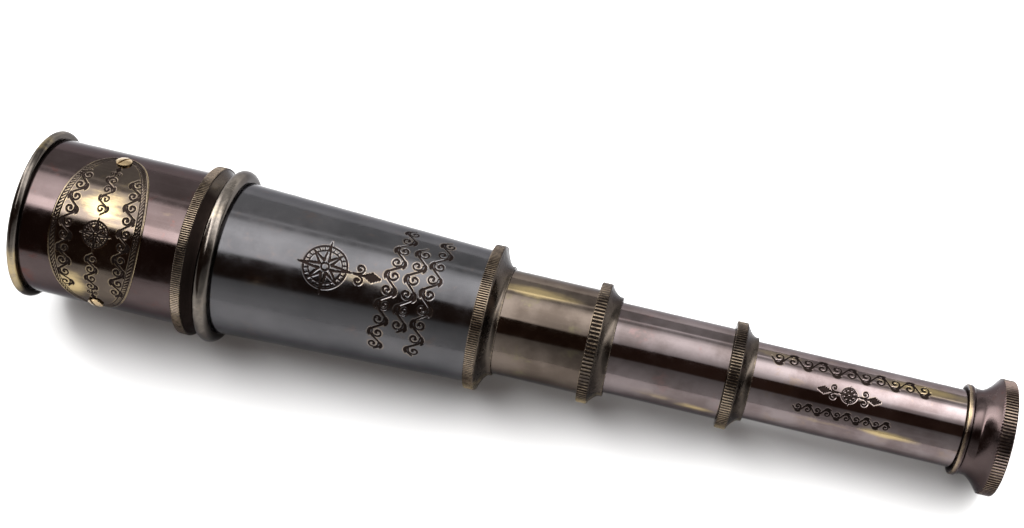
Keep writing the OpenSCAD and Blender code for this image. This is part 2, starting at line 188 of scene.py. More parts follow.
def aged_brass(name, dark, tint, blush, worn=WORN, rub=0.7, gloss=0.09, mottle=0.5, streak=0.4):
    """Brass under a chemical patina: mottled between dark and tint, with a blush of a third colour.
    It is rubbed back to brass where the vertex attribute rubbed says so, worn on the edges, with painted
    highlights beside engraved lines, where the attribute edge is above zero, and filled with grime, with
    painted shade in creases and in the sunshade collar's cone, where that is below zero."""
    dark, tint, blush, worn, brass = (tuple(RETURNED * value for value in colour)
                                      for colour in (dark, tint, blush, worn, BRASS))
    g = Graph(bpy.data.materials.new(name))
    place = g.place()
    edge = g.attribute("edge")
    patch = g.attribute("rubbed")
    clouds = g.noise(place, CLOUDS, 5.0, 0.62)
    grain = g.noise(place, GRAIN, 3.0, 0.6)
    streaks = g.noise(place, STREAKS, 4.0, 0.6, stretch=(0.03, 1.0, 1.0))
    colour = g.mix(g.step(clouds, 0.5 - 0.25 * mottle, 0.5 + 0.25 * mottle), dark, tint)
    colour = g.mix(g.step(g.noise(place, BLUSHES, 4.0, 0.7), 0.56, 0.72, 0.0, 0.8), colour, blush)
    colour = g.mix(g.step(streaks, 0.50, 0.80, 0.0, streak), colour, tint)
    colour = g.mix(g.step(grain, 0.66, 0.78, 0.0, 0.35), colour, tint)
    # Patches where hands have rubbed the patina thin, broken up along the tube and by the clouds; on the
    # plate and the last draw some of them also paint in a highlight
    breakup = g.math("ADD", g.noise(place, RUBBING, 5.0, 0.7, stretch=(0.16, 1.0, 1.0)), clouds)
    thin = g.math("ADD", patch, g.math("SUBTRACT", breakup, 1.02))
    thin = g.math("MULTIPLY", g.step(thin, 0.15, 0.95), g.step(patch, 0.02, 0.35))
    colour = g.mix(thin, colour, brass)
    # Edges worn to bright metal, unevenly, with painted highlights beside engraved lines, and hollows filled
    # with grime, with painted shade in creases
    bare = g.math("ADD", edge, g.math("MULTIPLY_ADD", grain, 0.8, -0.4))
    bare = g.math("ADD", bare, g.math("MULTIPLY_ADD", clouds, 1.6, -0.8))
    bare = g.math("MULTIPLY", g.step(bare, 0.25, 1.0), rub)
    colour = g.mix(bare, colour, worn)
    grime_and_shade = g.step(g.math("MULTIPLY", edge, -1.0), 0.10, 0.80)
    colour = g.mix(grime_and_shade, colour, GRIME_AND_SHADE)
    roughness = g.step(g.noise(place, SHEEN, 4.0, 0.65), 0.30, 0.75, gloss * 0.8, gloss * 1.5)
    roughness = g.math("ADD", roughness, g.math("MULTIPLY", grime_and_shade, 0.35))
    roughness = g.math("ADD", roughness, g.math("MULTIPLY", bare, 0.08))
    height = g.math("MULTIPLY_ADD", clouds, 0.5, g.math("MULTIPLY", streaks, 0.16))
    height = g.math("ADD", height, g.math("MULTIPLY", grain, 0.02))
    g.shader(Base_Color=colour, Metallic=1.0, Roughness=roughness, Normal=g.bump(height, 0.20, 0.12),
             Specular_Tint=EDGE_TINT)
    return g.material


def blackened(name):
    """Matt black oxide with a faint grey bloom and turning marks, for everything inside the tubes."""
    g = Graph(bpy.data.materials.new(name))
    place = g.place()
    bloom = g.step(g.noise(place, BLOOM, 4.0), 0.35, 0.75)
    turning = g.noise(place, TURNING, 2.0, 0.5, stretch=(1.0, 0.02, 0.02))
    colour = g.mix(bloom, (0.008, 0.008, 0.008), (0.020, 0.019, 0.018))
    g.shader(Base_Color=colour, Metallic=0.4, Roughness=g.step(bloom, 0.0, 1.0, 0.42, 0.6),
             Normal=g.bump(turning, 0.15, 0.05))
    return g.material


def turned_brass(name, colour, gloss):
    """Bare brass with a fine grain and a little tarnish."""
    g = Graph(bpy.data.materials.new(name))
    place = g.place()
    tarnish = g.step(g.noise(place, SHEEN, 4.0, 0.6), 0.42, 0.78)
    grain = g.noise(place, FINE_GRAIN, 3.0, 0.6)
    colour = g.mix(g.math("MULTIPLY", tarnish, 0.55), colour, TARNISH)
    roughness = g.step(tarnish, 0.0, 1.0, gloss, gloss + 0.18)
    g.shader(Base_Color=colour, Metallic=1.0, Roughness=roughness, Normal=g.bump(grain, 0.12, 0.05))
    return g.material


def lens_glass(name, tint):
    """Polished glass with a faint haze of dust."""
    g = Graph(bpy.data.materials.new(name))
    haze = g.step(g.noise(g.place(), DUST, 4.0, 0.6), 0.45, 0.9, 0.0, 0.08)
    g.shader(Base_Color=tint, Roughness=haze, IOR=1.52, Transmission_Weight=1.0)
    return g.material


# ---------------------------------------------------------------- turned meshes

TUBE_FILLET = 0.1
FILLET_STEPS = 4
FILLET_SUPPORT = 0.3            # from a fillet's end to the outline point beside it
SHARP_TURN = 32                 # degrees past which an edge of a turned piece is drawn sharp
SHARP_PLATE = 40                # and of the plate


def tube_outline(x0, r0, x1, r1, wall):
    """Closed outline of a straight or tapered tube with rounded corners, from the front bore outwards.
    Its rows are (x, r, edge), and edge is 1 on a rounded corner and 0 beside it."""
    corners = [np.array(corner) for corner in ((x0, r0 - wall), (x0, r0), (x1, r1), (x1, r1 - wall))]
    rows = []
    for i, here in enumerate(corners):
        before, after = corners[i - 1], corners[(i + 1) % len(corners)]
        into = (here - before) / np.linalg.norm(here - before)
        out = (after - here) / np.linalg.norm(after - here)
        back = TUBE_FILLET * math.tan(math.acos(np.clip(into @ out, -1, 1)) / 2)
        if np.linalg.norm(here - before) > 2 * (back + FILLET_SUPPORT):
            rows.append((*(here - into * (back + FILLET_SUPPORT)), 0.0))
        start, end = here - into * back, here + out * back
        for k in range(FILLET_STEPS + 1):
            t = k / FILLET_STEPS
            bow = (1 - t) ** 2 * start + 2 * t * (1 - t) * here + t ** 2 * end
            rows.append((*bow, 1.0))
        if np.linalg.norm(after - here) > 2 * (back + FILLET_SUPPORT):
            rows.append((*(here + out * (back + FILLET_SUPPORT)), 0.0))
    return rows


def filled_in(rows, longest):
    """The same closed outline, with no step along X longer than longest."""
    made = []
    for i, row in enumerate(rows):
        after = rows[(i + 1) % len(rows)]
        count = max(1, math.ceil(abs(after[0] - row[0]) / longest))
        for k in range(count):
            t = k / count
            made.append(tuple(np.array(row) * (1 - t) + np.array(after) * t))
    return made


def arc(x, r, radius, start, end, steps, edge=0.0):
    """Points on an arc in the outline's plane, angles from +X towards +r in degrees."""
    made = []
    for k in range(steps + 1):
        angle = math.radians(start + (end - start) * k / steps)
        made.append((x + radius * math.cos(angle), r + radius * math.sin(angle), edge))
    return made


def finish_mesh(mesh, sharp, **attributes):
    """Builds the edges, writes the vertex attributes, and shades smooth up to sharp degrees."""
    mesh.update(calc_edges=True)
    mesh.validate()
    for key, values in attributes.items():
        layer = mesh.attributes.new(key, "FLOAT", "POINT")
        layer.data.foreach_set("value", values.astype(np.float32).ravel())
    mesh.polygons.foreach_set("use_smooth", np.ones(len(mesh.polygons), bool))
    mesh.set_sharp_from_angle(angle=math.radians(sharp))


def add_piece(name, mesh, body, slot, *nodes):
    """Shows a mesh in place of CAD nodes, moving with their body and in the material of their slot."""
    piece = bpy.data.objects.new(name, mesh)
    bpy.context.scene.collection.objects.link(piece)
    mesh.materials.append(MATERIALS[slot])
    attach(piece, body)
    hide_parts(*nodes)


def lathe(name, rows, angles, shape=None, spots=()):
    """Turns an outline about X. shape(x, r, angle, edge) may give each vertex a new radius and edge.
    spots are places where the patina is rubbed thin: (x, angle, half length, half angle, strength)."""
    rows = np.array(rows, float)
    n, m = len(rows), len(angles)
    x = np.repeat(rows[:, 0][:, None], m, 1)
    r = np.repeat(rows[:, 1][:, None], m, 1)
    edge = np.repeat(rows[:, 2][:, None], m, 1)
    angle = np.repeat(np.array(angles, float)[None, :], n, 0)
    if shape:
        r, edge = shape(x, r, angle, edge)
    turn = np.radians(angle)
    co = np.stack([x, -r * np.sin(turn), r * np.cos(turn)], -1).reshape(-1, 3)
    index = np.arange(n * m).reshape(n, m)
    below = np.roll(index, -1, 0)
    quads = np.stack([index, np.roll(index, -1, 1), np.roll(below, -1, 1), below], -1).reshape(-1, 4)
    rubbed = np.zeros_like(r)
    for spot_x, spot_angle, length, width, strength in spots:
        away = (angle - spot_angle + 180) % 360 - 180
        fade = np.exp(-((x - spot_x) / length) ** 2 - (away / width) ** 2)
        rubbed = np.maximum(rubbed, strength * fade)
    mesh = bpy.data.meshes.new(name)
    mesh.vertices.add(len(co))
    mesh.vertices.foreach_set("co", (co * MM).astype(np.float32).ravel())
    mesh.loops.add(quads.size)
    mesh.loops.foreach_set("vertex_index", quads.astype(np.int32).ravel())
    mesh.polygons.add(len(quads))
    mesh.polygons.foreach_set("loop_start", np.arange(0, quads.size, 4, dtype=np.int32))
    finish_mesh(mesh, SHARP_TURN, edge=edge, rubbed=rubbed)
    return mesh


def even_angles(count):
    return np.arange(count) * 360.0 / count


GROOVE_MOUTH = 0.34             # half a groove's width at the crests, as a share of the pitch
GROOVE_FLOOR = 0.08             # and at its floor
BAND_DEPTH = 1.2                # an outline point this far inside the band's radius is still on the band
GROOVE_GRIME = -0.75
CREST_WEAR = 0.62


class Knurl:
    """Straight V-grooves cut along the axis into a band between two places along X."""

    def __init__(self, start, end, band_r, pitch, depth):
        self.start, self.end, self.band_r, self.depth = start, end, band_r, depth
        self.teeth = round(2 * math.pi * band_r / pitch)

    def angles(self):
        """Angles of the four corners of every groove."""
        within = 0.5 + np.array([-GROOVE_MOUTH, -GROOVE_FLOOR, GROOVE_FLOOR, GROOVE_MOUTH])
        return ((np.arange(self.teeth)[:, None] + within[None, :]) * 360.0 / self.teeth).ravel()

    def __call__(self, x, r, angle, edge):
        away = np.abs((angle * self.teeth / 360.0) % 1.0 - 0.5)
        groove = np.clip((GROOVE_MOUTH - away) / (GROOVE_MOUTH - GROOVE_FLOOR), 0, 1)
        on_band = (x > self.start - 1e-6) & (x < self.end + 1e-6) & (r > self.band_r - BAND_DEPTH)
        cut = np.where(on_band, np.minimum(r, self.band_r - self.depth * groove), r)
        outside = r > self.band_r - self.depth - 0.1
        worn = np.where(groove > 0.5, GROOVE_GRIME, CREST_WEAR)
        return cut, np.where(on_band & outside, worn, edge)


# ---------------------------------------------------------------- ornament

STROKE_STEP = 0.06              # between the points that a stroke is kept as
FAR = 9.0                       # the distance given to a vertex with no stroke near it
OFF_SURFACE = 1e3               # the place round the tube given to a vertex that isn't on its outside
GROOVE_WALL = 0.20              # width over which a groove's wall falls, half of it outside the stroke
RIM_HIGHLIGHT = 0.75             # painted highlight along the rim beside a groove, laid on the edge attribute as wear


class Engraving:
    """Strokes on an unrolled surface, in millimetres along the axis (u) and round the tube (v)."""

    def __init__(self, depth):
        self.depth = depth
        self.points = []            # (u, v, half the stroke's width)

    def stroke(self, line, width):
        """A line of points; width is one number, or one for each point."""
        line = np.array(line, float)
        widths = np.broadcast_to(np.array(width, float), len(line))
        for a, b, wide, next_wide in zip(line[:-1], line[1:], widths[:-1], widths[1:]):
            count = max(1, int(np.linalg.norm(b - a) / STROKE_STEP))
            for k in range(count):
                t = k / count
                self.points.append((*(a + (b - a) * t), (wide + (next_wide - wide) * t) / 2))
        self.points.append((*line[-1], widths[-1] / 2))

    def ring(self, u, v, half_u, half_v, width):
        step = 3 if half_v < 9 else 1.5
        turns = np.radians(np.arange(0, 362, step))
        self.stroke(np.stack([u + half_u * np.cos(turns), v + half_v * np.sin(turns)], 1), width)

    def curl(self, u, v, radius, start, sweep, width):
        """A curl that winds in from radius, and ends in a round bud."""
        share = np.linspace(0, 1, 22)
        turns = np.radians(start + sweep * share)
        size = radius * (1 - 0.78 * share)
        line = np.stack([u + size * np.cos(turns), v + size * np.sin(turns)], 1)
        self.stroke(line, width * (0.8 + 0.7 * share ** 2))

    def leaf(self, u, v, heading, length, width, bend):
        """A pointed leaf that leaves (u, v) at a heading in degrees and bends as it goes."""
        share = np.linspace(0, 1, 9)
        turns = np.radians(heading + bend * share)
        step = length / 8
        line = np.stack([u + np.cumsum(np.cos(turns)) * step, v + np.cumsum(np.sin(turns)) * step], 1)
        self.stroke(line, width * np.sin(math.pi * (0.08 + 0.90 * share)) ** 0.8)

    def garland(self, line, height, pitch, width):
        """A waving stem along a line of points, with a wide curl in each bend and a leaf outside it."""
        line = np.array(line, float)
        lengths = np.concatenate([[0], np.cumsum(np.linalg.norm(np.diff(line, axis=0), axis=1))])
        count = max(1, round(lengths[-1] / pitch))
        pitch = lengths[-1] / count

        def at(run):
            """The place this far along the line, and the directions along and across it."""
            here, ahead, behind = (np.array([np.interp(place, lengths, column) for column in line.T])
                                   for place in (run, run + 0.1, run - 0.1))
            along = (ahead - behind) / np.linalg.norm(ahead - behind)
            return here, along, np.array([-along[1], along[0]])

        stem = []
        for run in np.arange(0, lengths[-1], 0.2):
            here, _, across = at(run)
            stem.append(here + across * math.sin(math.pi * run / pitch) * height * 0.40)
        self.stroke(stem, width)
        for k in range(count):
            side = 1 if k % 2 == 0 else -1
            here, along, across = at(pitch * (k + 0.5))
            heading = math.degrees(math.atan2(along[1], along[0]))
            middle = here - across * side * height * 0.08
            self.curl(*middle, height * 0.36, heading + side * 110, -side * 400, width)
            foot = here + across * side * height * 0.34 - along * pitch * 0.30
            self.leaf(*foot, heading + side * 28, pitch * 0.62, width * 2.2, -side * 46)

    def fleuron(self, u, v, heading, size, width):
        """A lozenge on a stalk with a curl to each side, pointing at a heading in degrees."""
        turn = math.radians(heading)
        along = np.array([math.cos(turn), math.sin(turn)])
        across = np.array([-math.sin(turn), math.cos(turn)])
        foot = np.array([u, v])
        self.stroke([foot, foot + along * size * 0.45], width)
        for k in range(7):
            t = k / 6
            half = size * 0.15 * (1 - abs(2 * t - 1))
            spine = foot + along * size * (0.42 + 0.58 * t)
            self.stroke([spine - across * half, spine + across * half], size * 0.11)
        for side in (-1, 1):
            middle = foot + along * size * 0.20 + across * side * size * 0.24
            self.curl(*middle, size * 0.20, heading - side * 90, side * 380, width)

    def compass(self, u, v, size, width):
        """A generic eight-pointed compass star in a double ring."""
        self.ring(u, v, size * 0.80, size * 0.80, width)
        self.ring(u, v, size * 0.62, size * 0.62, width * 0.7)
        self.ring(u, v, size * 0.14, size * 0.14, width)
        for k in range(8):
            heading = math.radians(45 * k)
            reach = size if k % 2 == 0 else size * 0.78
            tip = (u + reach * math.cos(heading), v + reach * math.sin(heading))
            for side in (-1, 1):
                foot = heading + side * math.radians(24)
                start = (u + size * 0.24 * math.cos(foot), v + size * 0.24 * math.sin(foot))
                self.stroke([start, tip], (width * 1.5, width * 0.6))
        for k in range(24):
            heading = math.radians(15 * k)
            inner, outer = size * 0.65, size * 0.77
            self.stroke([(u + inner * math.cos(heading), v + inner * math.sin(heading)),
                         (u + outer * math.cos(heading), v + outer * math.sin(heading))], width * 0.6)

    def field(self, u, v):
        """Distance from every vertex to the nearest stroke's edge, below zero inside the stroke."""
        tree = kdtree.KDTree(len(self.points))
        for i, (a, b, _) in enumerate(self.points):
            tree.insert((a, b, 0.0), i)
        tree.balance()
        flat = np.stack([u.ravel(), v.ravel()], 1)
        out = np.full(len(flat), FAR)
        places = np.array(self.points)[:, :2]
        low, high = places.min(0) - 1, places.max(0) + 1
        for i in np.nonzero(np.all((flat > low) & (flat < high), axis=1))[0]:
            found = tree.find_n((flat[i, 0], flat[i, 1], 0.0), 3)
            out[i] = min(far - self.points[nearest][2] for _, nearest, far in found)
        return out.reshape(u.shape)

    def cut(self, u, v, r, edge):
        """Radius and edge once the strokes are cut: grime in the groove, and a painted highlight along its
        rim.
        """
        gap = self.field(u, v)
        depth = np.clip((GROOVE_WALL / 2 - gap) / GROOVE_WALL, 0, 1)
        depth = depth * depth * (3 - 2 * depth)
        # The bright rim is a painted highlight, carried on the edge attribute like wear
        rim_highlight = RIM_HIGHLIGHT * np.exp(-((gap - GROOVE_WALL) / 0.13) ** 2)
        worn = np.where(depth > 0.35, -np.minimum(1, depth * 1.3), np.maximum(edge, rim_highlight))
        return r - self.depth * depth, worn


class EngravedTube:
    """Cuts an engraving into a tube whose radius is outer(x); v = 0 lies at the angle middle."""

    def __init__(self, engraving, outer, middle):
        self.engraving, self.outer, self.middle = engraving, outer, middle

    def __call__(self, x, r, angle, edge):
        away = (angle - self.middle + 180) % 360 - 180
        outside = r > self.outer(x) - 0.05
        v = np.where(outside, np.radians(away) * r, OFF_SURFACE)
        return self.engraving.cut(x, v, r, edge)


def window_angles(middle, half, fine, coarse):
    """Angles round a tube, close together within half degrees of the middle."""
    inside = np.arange(-half, half, fine)
    outside = np.arange(half, 360 - half, coarse)
    return np.sort((np.concatenate([inside, outside]) + middle) % 360)


def in_window(rows, start, end, fine):
    """Adds outline points between start and end along X, on the outside of the tube only."""
    made = []
    for i, row in enumerate(rows):
        after = rows[(i + 1) % len(rows)]
        made.append(row)
        if after[0] > row[0] + 1:
            marks = np.arange(max(start, row[0] + fine), min(end, after[0] - fine), fine)
            for mark in marks:
                t = (mark - row[0]) / (after[0] - row[0])
                made.append((mark, row[1] + (after[1] - row[1]) * t, 0.0))
    return made


# ---------------------------------------------------------------- sizes, from the frame


def span(node):
    """Front, rear and outer radius of a CAD node, in millimetres."""
    low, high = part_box(node)
    return low.x / MM, high.x / MM, min(high.y, high.z) / MM


DRAW_WALL = 0.6
SHADE_WALL = 0.75
BARREL_WALL = 0.8
BARREL_REAR_R = 19.5
BARREL_SPIGOT = 5.0             # how far the barrel's collar reaches into the barrel
DRAW_SPIGOT = 12.0              # and a draw's collar into its draw
SPIGOT_WALL = 0.5               # round a bore inside the sunshade
SLIDE_GAP = 0.05
STOP_GAP = 0.06                 # keeps a collar's front clear of the stop ring that meets it
BAND_W = 3.35
SHADE_BAND_W = 3.0
BAND_FILLET = 0.4
BAND_SHOULDER = 0.55            # from the top of a band down to the cone behind it
LIP_W = 0.7
BEAD_FILLET = 0.12              # the grimy corner where a bead meets its tube
EYE_RING_R, EYE_WAIST_R, EYE_HOLE_R = 13.0, 12.3, 5.0
EYE_RIM_W = 3.9
EYE_FLARE = 4.3                 # from the end of the draw tube to the start of the flare
EYE_WEB, EYE_WEB_T = 5.0, 1.2   # from the same end to the web round the eye hole, and its thickness
RING_CREST = 0.35               # fillet of the ring where the eyepiece cup starts

OUTLINE_STEP = 1.5              # longest step along X in the outline of a long tube

shade_x0, shade_x1, shade_r = span("shade_tube")
barrel_x0, barrel_x1, barrel_r = span("barrel_tube")
flange_x0, flange_x1, flange_r = span("barrel_flange")
cup_x0, cup_x1, cup_r = span("eyepiece_cup")


def barrel_outer(x):
    return barrel_r + (BARREL_REAR_R - barrel_r) * (x - barrel_x0) / (barrel_x1 - barrel_x0)


# ---------------------------------------------------------------- materials

PATINAS = {
    "shade_patina": dict(dark=(0.058, 0.042, 0.040), tint=(0.098, 0.075, 0.074),
                         blush=(0.115, 0.048, 0.040), gloss=0.10, mottle=1.3),
    "barrel_patina": dict(dark=(0.080, 0.079, 0.083), tint=(0.116, 0.113, 0.118),
                          blush=(0.128, 0.106, 0.100), gloss=0.13, mottle=1.0),
    "draw_1_patina": dict(dark=(0.090, 0.070, 0.057), tint=(0.150, 0.120, 0.100),
                          blush=(0.150, 0.130, 0.080), gloss=0.085),
    "draw_2_patina": dict(dark=(0.135, 0.108, 0.104), tint=(0.205, 0.170, 0.170),
                          blush=(0.200, 0.135, 0.130), gloss=0.08),
    "draw_3_patina": dict(dark=(0.145, 0.112, 0.110), tint=(0.235, 0.195, 0.195),
                          blush=(0.220, 0.165, 0.135), gloss=0.07, streak=0.6),
    "collar_patina": dict(dark=(0.040, 0.032, 0.027), tint=(0.085, 0.070, 0.058),
                          blush=(0.080, 0.062, 0.044), gloss=0.24, rub=0.85),
    "bead_brass": dict(dark=(0.060, 0.052, 0.045), tint=(0.135, 0.120, 0.108),
                       blush=(0.135, 0.108, 0.085), gloss=0.17, mottle=1.0, worn=(0.26, 0.225, 0.19)),
    "eyepiece_patina": dict(dark=(0.052, 0.036, 0.034), tint=(0.100, 0.075, 0.073),
                            blush=(0.110, 0.055, 0.048), gloss=0.20, mottle=0.9),
    "plate_brass": dict(dark=(0.064, 0.050, 0.043), tint=(0.120, 0.096, 0.076),
                        blush=(0.130, 0.098, 0.060), gloss=0.10, mottle=1.1, worn=(0.40, 0.31, 0.18)),
    "sleeve_patina": dict(dark=(0.040, 0.032, 0.028), tint=(0.085, 0.068, 0.056),
                          blush=(0.110, 0.085, 0.050), gloss=0.18),
}

MATERIALS = {name: aged_brass(name, **look) for name, look in PATINAS.items()}
MATERIALS["screw_brass"] = turned_brass("screw_brass", (0.27, 0.20, 0.115), 0.22)
MATERIALS["bare_brass"] = turned_brass("bare_brass", (0.36, 0.28, 0.16), 0.25)
MATERIALS["black_inner"] = blackened("black_inner")
MATERIALS["optical_glass"] = lens_glass("optical_glass", (0.93, 0.98, 0.97))

# ---------------------------------------------------------------- sunshade


def make_shade():
    crease = shade_x0 + 2.0         # a ring of grime and painted dark reflection of the bead, just behind it
    rows = filled_in(tube_outline(shade_x0, shade_r, shade_x1, shade_r, SHADE_WALL), 1.2)
    rows = [(x, r, -1.0 if abs(x - crease) < 0.7 and r > shade_r - 0.1 else edge) for x, r, edge in rows]
    mesh = lathe("sunshade_tube", rows, even_angles(288), spots=[(44, 0, 4, 10, 0.35)])
    add_piece("sunshade_tube", mesh, "sunshade", "shade_patina", "shade_tube")


def make_front_bead():
    x0, x1, outer = span("shade_front_bead")
    half = (x1 - x0) / 2
    bore = shade_r - SHADE_WALL - 0.3
    rows = [(x0, bore, 0.3), (x0, outer - half - 0.4, 0.0)]
    rows += arc(x0 + half, outer - half, half, 180, 0, 28)
    rows += [(x1, shade_r + BEAD_FILLET, 0.0), (x1 - BEAD_FILLET, shade_r, -1.0),
             (shade_x0, shade_r, 0.0), (shade_x0, bore, 0.0)]
    rows = [(x, r, 0.55 if r > outer - 0.5 else edge) for x, r, edge in rows]
    spots = [(x0 + 0.8, 74, 3, 20, 1.3), (x0 + 0.4, -28, 3, 16, 0.7)]
    mesh = lathe("sunshade_front_bead", rows, even_angles(360), spots=spots)
    add_piece("sunshade_front_bead", mesh, "sunshade", "bead_brass", "shade_front_bead")


def cove(x0, r0, x1, r1, steps=14):
    """Outline of the hollow cone behind a knurled band, from (x0, r0) down to (x1, r1)."""
    return [(x0 + (x1 - x0) * k / steps, r1 + (r0 - r1) * (1 - k / steps) ** 1.7, 0.0)
            for k in range(steps + 1)]


def band_rows(x, width, band_r, foot_r):
    """Outline of a knurled band from its front foot to the shoulder behind it, with rounded edges."""
    front, back, top = x + BAND_FILLET, x + width - BAND_FILLET, band_r - BAND_FILLET
    made = [(x, foot_r, -1.0), (x, foot_r + 0.25, 0.0), (x, top - 0.05, 0.0)]
    made += arc(front, top, BAND_FILLET, 180, 90, 5, 0.3)
    made += [(front + (back - front) * k / 6, band_r, 0.2) for k in range(1, 6)]
    made += arc(back, top, BAND_FILLET, 90, 20, 5, 0.3)
    made += [(x + width, band_r - BAND_SHOULDER, -0.4)]
    return made


def make_shade_collar():
    x0, x1, band_r = span("shade_collar")
    band_x = shade_x1 - 2.0
    back = band_x + SHADE_BAND_W
    bore = shade_r - SHADE_WALL - SPIGOT_WALL
    lip_r = bore + 1.15
    rows = [(x0, bore, 0.0), (x0, shade_r - SHADE_WALL, 0.0), (shade_x1, shade_r - SHADE_WALL, 0.0),
            (shade_x1, shade_r, 0.0)]
    rows += band_rows(band_x, SHADE_BAND_W, band_r, shade_r)
    rows += cove(back + 0.05, band_r - 0.6, x1 - 0.4, lip_r)
    rows += [(x1 - 0.1, lip_r, 0.7), (x1, lip_r - 0.15, 0.7), (x1, bore, 0.0)]
    knurl = Knurl(band_x + 0.05, back - 0.1, band_r, 0.66, 0.22)

    def shape(x, r, angle, edge):
        """Cuts the knurl, and darkens the cone with painted shade from -32 degrees on, thickening over 14.
        """
        r, edge = knurl(x, r, angle, edge)
        painted_shade = np.clip((angle + 32 - 360 * (angle > 180)) / 14, 0, 1)
        cone = (x > back) & (x < x1 - 0.05) & (r > bore + 0.2)
        # The cone's darkness is painted shade, laid on the edge attribute the way grime is
        return r, np.where(cone, edge - 0.85 * painted_shade, edge)

    mesh = lathe("sunshade_collar", rows, knurl.angles(), shape)
    add_piece("sunshade_collar", mesh, "sunshade", "collar_patina", "shade_collar")


PLATE_X = 25.2
PLATE_TURN = 28.0
PLATE_LENGTH = 27.2
PLATE_WRAP = 140.0              # degrees of the tube that the plate covers
PLATE_T = 0.5
PLATE_RINGS = 149               # rings of vertices on its flat face, all but the three at the edge
PLATE_SPOKES = 960
PLATE_HATCHES = 140
PLATE_MOTIF_X = 0.3


def plate_engraving(half_u, half_v):
    """Double border with a slanted hatch between, a compass star, and garlands round and beside it."""
    work = Engraving(0.12)
    for inset, width in ((0.70, 0.24), (2.10, 0.22)):
        work.ring(0, 0, half_u - inset, half_v - inset, width)

    def inside_rim(inset, turn):
        return (half_u - inset) * math.cos(turn), (half_v - inset) * math.sin(turn)

    for k in range(PLATE_HATCHES):
        turn = 2 * math.pi * k / PLATE_HATCHES
        work.stroke([inside_rim(0.95, turn), inside_rim(1.85, turn + 0.05)], (0.36, 0.16))
    work.compass(PLATE_MOTIF_X, 0, 4.6, 0.40)
    for side in (-1, 1):
        work.garland([(PLATE_MOTIF_X, side * 5.8), (0.0, side * 18.6)], 3.8, 3.2, 0.40)
        work.fleuron(0.0, side * 18.9, 90 * side, 4.0, 0.34)
        reach = np.radians(np.linspace(-50, 50, 41))
        line = np.stack([side * 8.6 * np.cos(reach * 0.75) ** 0.8, 25.0 * np.sin(reach)], 1)
        work.garland(line, 4.2, 3.9, 0.50)
    return work


def make_plate():
    """The oval plate: rings of vertices wrapped round the tube, closed at the middle and underneath."""
    half_u, top = PLATE_LENGTH / 2, shade_r + PLATE_T
    half_v = math.radians(PLATE_WRAP / 2) * top
    rings = np.concatenate([np.linspace(0.0, 0.985, PLATE_RINGS + 1)[1:], [0.9925, 1.0, 1.0]])
    drop = np.concatenate([np.zeros(PLATE_RINGS), [0.05, 0.16, PLATE_T]])
    turn = np.arange(PLATE_SPOKES) * 2 * math.pi / PLATE_SPOKES
    u = half_u * rings[:, None] * np.cos(turn)[None, :]
    v = half_v * rings[:, None] * np.sin(turn)[None, :]
    r = np.full_like(u, top) - drop[:, None]
    edge = np.zeros_like(u)
    edge[-3:-1] = 0.9
    edge[-1] = -1.0
    cut_r, worn = plate_engraving(half_u, half_v).cut(u, v, r, edge)
    flat = (np.arange(len(rings)) < PLATE_RINGS)[:, None]
    r, edge = np.where(flat, cut_r, r), np.where(flat, worn, edge)
    u = np.concatenate([[0.0], u.ravel(), [0.0]])
    v = np.concatenate([[0.0], v.ravel(), [0.0]])
    r = np.concatenate([[top], r.ravel(), [shade_r]])
    edge = np.concatenate([[0.0], edge.ravel(), [0.0]])
    angle = np.radians(PLATE_TURN) + v / top
    co = np.stack([PLATE_X + u, -r * np.sin(angle), r * np.cos(angle)], 1)
    index = 1 + np.arange(len(rings) * PLATE_SPOKES).reshape(len(rings), PLATE_SPOKES)
    after = np.roll(index, -1, 1)
    quads = np.stack([index[:-1], index[1:], after[1:], after[:-1]], -1).reshape(-1, 4)
    last = len(co) - 1
    middle = [(0, int(a), int(b)) for a, b in zip(index[0], after[0])]
    under = [(last, int(b), int(a)) for a, b in zip(index[-1], after[-1])]
    mesh = bpy.data.meshes.new("oval_plate")
    mesh.from_pydata((co * MM).tolist(), [], quads.tolist() + middle + under)
    # The first patch, at the upper middle, lies where the plate's highlight falls and is partly a painted
    # highlight
    rubbed = 0.75 * np.exp(-((u - 1) / 8) ** 2 - ((v + 8) / 6) ** 2)
    rubbed = np.maximum(rubbed, 0.85 * np.exp(-((u + 6) / 4) ** 2 - ((v - 18) / 5) ** 2))
    finish_mesh(mesh, SHARP_PLATE, edge=edge, rubbed=rubbed)
    add_piece("oval_plate_engraved", mesh, "sunshade", "plate_brass", "oval_plate")


# ---------------------------------------------------------------- barrel


def make_flange():
    half = (flange_x1 - flange_x0) / 2
    top = flange_r - half
    bore = shade_r - SHADE_WALL - SLIDE_GAP - SPIGOT_WALL
    rows = [(flange_x0, bore, 0.0)] + arc(flange_x0 + half, top, half, 180, 0, 36)
    rows += [(flange_x1, barrel_r + BEAD_FILLET, 0.0), (flange_x1 - BEAD_FILLET, barrel_r, -1.0),
             (barrel_x0, barrel_r, 0.0), (barrel_x0, bore, 0.0)]
    rows = [(x, r, 0.5 if r > flange_r - 0.7 else edge) for x, r, edge in rows]
    mesh = lathe("barrel_flange_bead", rows, even_angles(360), spots=[(flange_x0 + 1.5, -4, 4, 10, 0.25)])
    add_piece("barrel_flange_bead", mesh, "barrel", "bead_brass", "barrel_flange")


ENGRAVING_TURN = 12.4           # the middle line of the ornament on the barrel and on the last draw
# Where vertices lie close together for an engraving: start, end and step along X, and then the half
# angle, the step inside it and the step outside it
BARREL_WINDOW, BARREL_WINDOW_TURN = (82.0, 126.5, 0.15), (68, 0.42, 1.5)
DRAW_3_WINDOW, DRAW_3_WINDOW_TURN = (216.5, 266.0, 0.14), (50, 0.7, 2.0)


